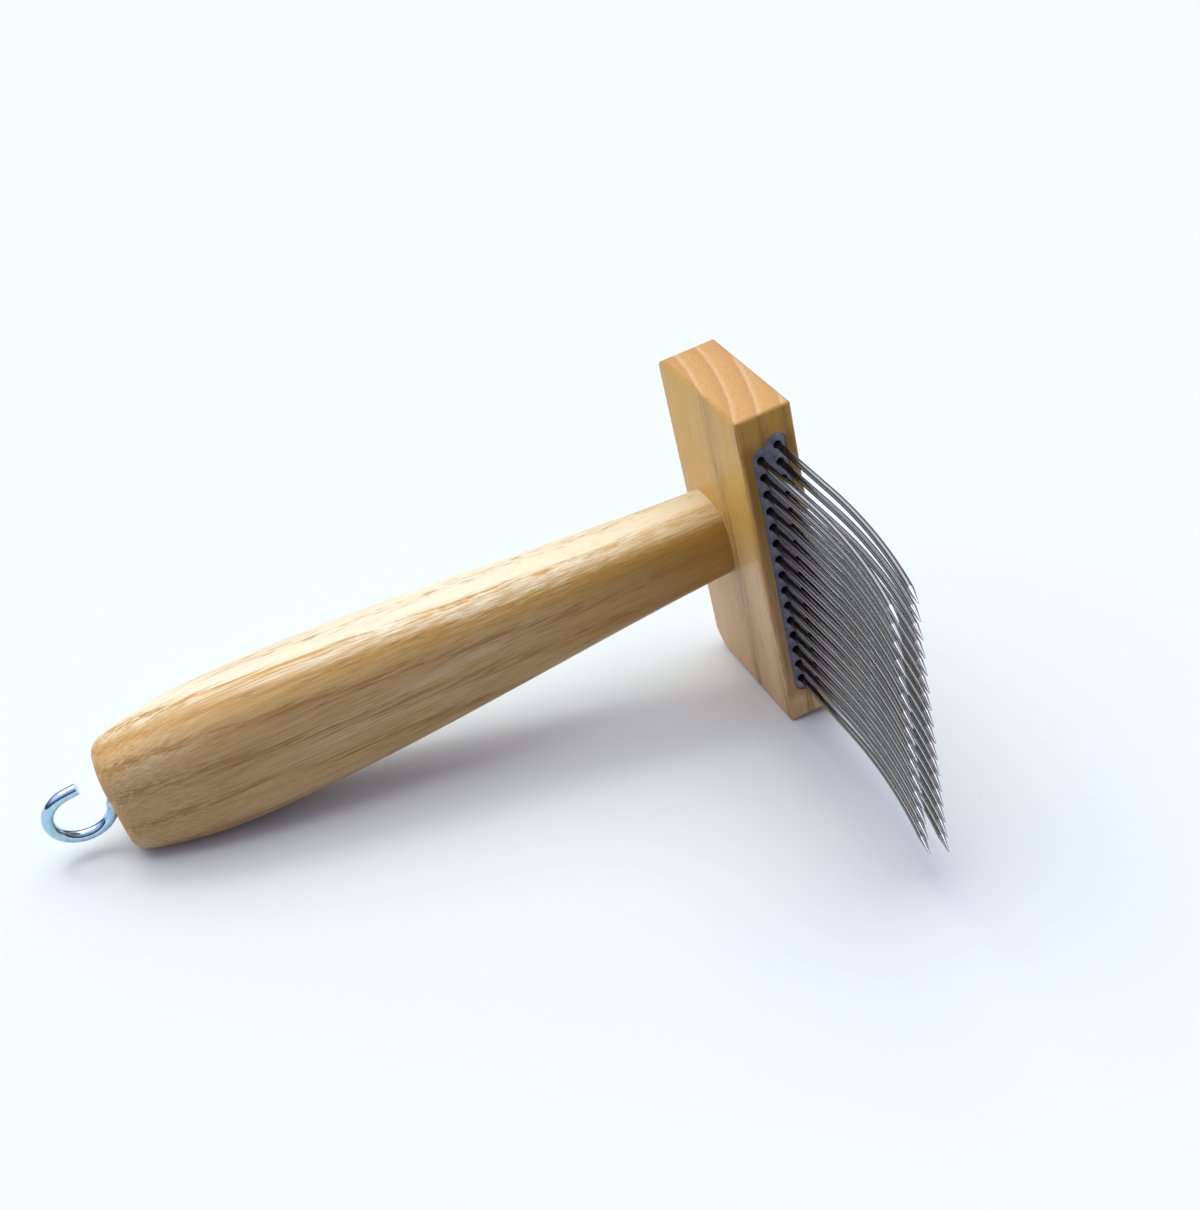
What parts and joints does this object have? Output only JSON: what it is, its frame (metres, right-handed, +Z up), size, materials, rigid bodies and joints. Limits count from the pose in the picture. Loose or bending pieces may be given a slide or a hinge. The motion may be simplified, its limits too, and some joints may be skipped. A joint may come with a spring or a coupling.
{
  "type": "wool comb",
  "caption": "Hand wool comb with a swelling wooden handle, a wooden head across it, staggered rows of long curved steel tines set in a bedding, and an open screw hook in the butt.",
  "frame": {"origin": "middle of the bounding box at the table, under the comb as it lies on its side, resting on the handle near the butt and on the lower end of the head", "axes": "+X from the hook towards the head, +Y from the tine points towards the head's back, +Z up from the table; the handle leans up towards the head by 11.1 degrees"},
  "size_m": [0.2062, 0.1158, 0.0967],
  "materials": {
    "head_wood": "satin lacquer",
    "handle_wood": "satin lacquer",
    "bedding": "satin",
    "hook_zinc": "bright zinc plate",
    "tine_steel": "drawn wire"
  },
  "bodies": {
    "root": {"head_block": "head_wood", "handle": "handle_wood", "tine_bed": "bedding", "screw_hook": "hook_zinc", "tine_a01": "tine_steel", "tine_a02": "tine_steel", "tine_a03": "tine_steel", "tine_a04": "tine_steel", "tine_a05": "tine_steel", "tine_a06": "tine_steel", "tine_a07": "tine_steel", "tine_a08": "tine_steel", "tine_a09": "tine_steel", "tine_a10": "tine_steel", "tine_a11": "tine_steel", "tine_a12": "tine_steel", "tine_a13": "tine_steel", "tine_a14": "tine_steel", "tine_a15": "tine_steel", "tine_b01": "tine_steel", "tine_b02": "tine_steel", "tine_b03": "tine_steel", "tine_b04": "tine_steel", "tine_b05": "tine_steel", "tine_b06": "tine_steel", "tine_b07": "tine_steel", "tine_b08": "tine_steel", "tine_b09": "tine_steel", "tine_b10": "tine_steel", "tine_b11": "tine_steel", "tine_b12": "tine_steel", "tine_b13": "tine_steel", "tine_b14": "tine_steel", "tine_b15": "tine_steel", "tine_b16": "tine_steel"}
  },
  "joints": []
}
